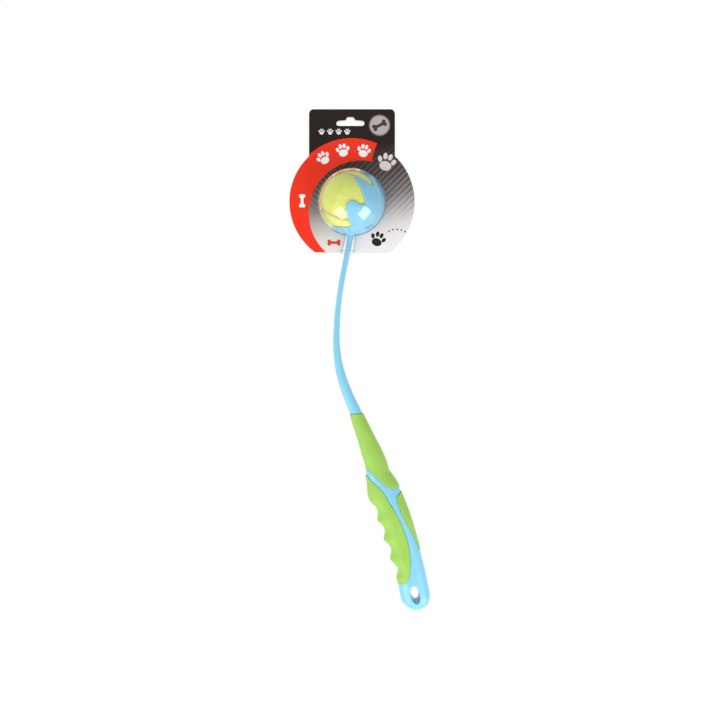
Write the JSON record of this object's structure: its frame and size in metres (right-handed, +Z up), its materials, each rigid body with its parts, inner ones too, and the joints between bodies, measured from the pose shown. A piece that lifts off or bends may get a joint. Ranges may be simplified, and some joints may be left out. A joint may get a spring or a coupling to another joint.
{
  "type": "dog ball thrower",
  "caption": "Moulded dog ball thrower with a fingered cup, curved shaft, soft grips and a felt ball, on a two-sided display card with clear domes.",
  "frame": {"origin": "middle of the handle where the hand holds it, in the thrower's middle plane", "axes": "+Z up, from the handle to the ball; +X to the right of the card's front face; the front face looks along -Y"},
  "size_m": [0.1482, 0.0714, 0.5275],
  "materials": {
    "blue_plastic": "moulded polypropylene, satin",
    "soft_grip": "soft thermoplastic rubber, fine matt texture",
    "ball_felt": "brushed felt",
    "ball_rubber": "plain moulded rubber",
    "seam_rubber": "pale vulcanised rubber",
    "printed_card": "printed and varnished board",
    "clear_blister": "clear thermoformed film, glossy"
  },
  "bodies": {
    "thrower": {"thrower_body": "blue_plastic", "upper_grip": "soft_grip", "finger_grip": "soft_grip", "palm_grip": "soft_grip"},
    "ball": {"ball_core_half_a": "ball_rubber", "ball_core_half_b": "ball_rubber", "felt_panel_a": "ball_felt", "felt_panel_b": "ball_felt", "ball_seam": "seam_rubber"},
    "front_pack": {"front_card": "printed_card", "front_blister": "clear_blister"},
    "rear_pack": {"back_card": "printed_card", "rear_blister": "clear_blister"}
  },
  "joints": [
    {"name": "ball_spin", "type": "hinge", "parent": "thrower", "child": "ball", "pos_m": [-0.04962, 0, 0.3489], "axis": [-0.866, 0, 0.5], "continuous": true},
    {"name": "front_pack_off", "type": "slide", "parent": "thrower", "child": "front_pack", "axis": [0, -1, 0], "range_m": [0, 0.09]},
    {"name": "rear_pack_off", "type": "slide", "parent": "thrower", "child": "rear_pack", "axis": [0, 1, 0], "range_m": [0, 0.09]}
  ]
}
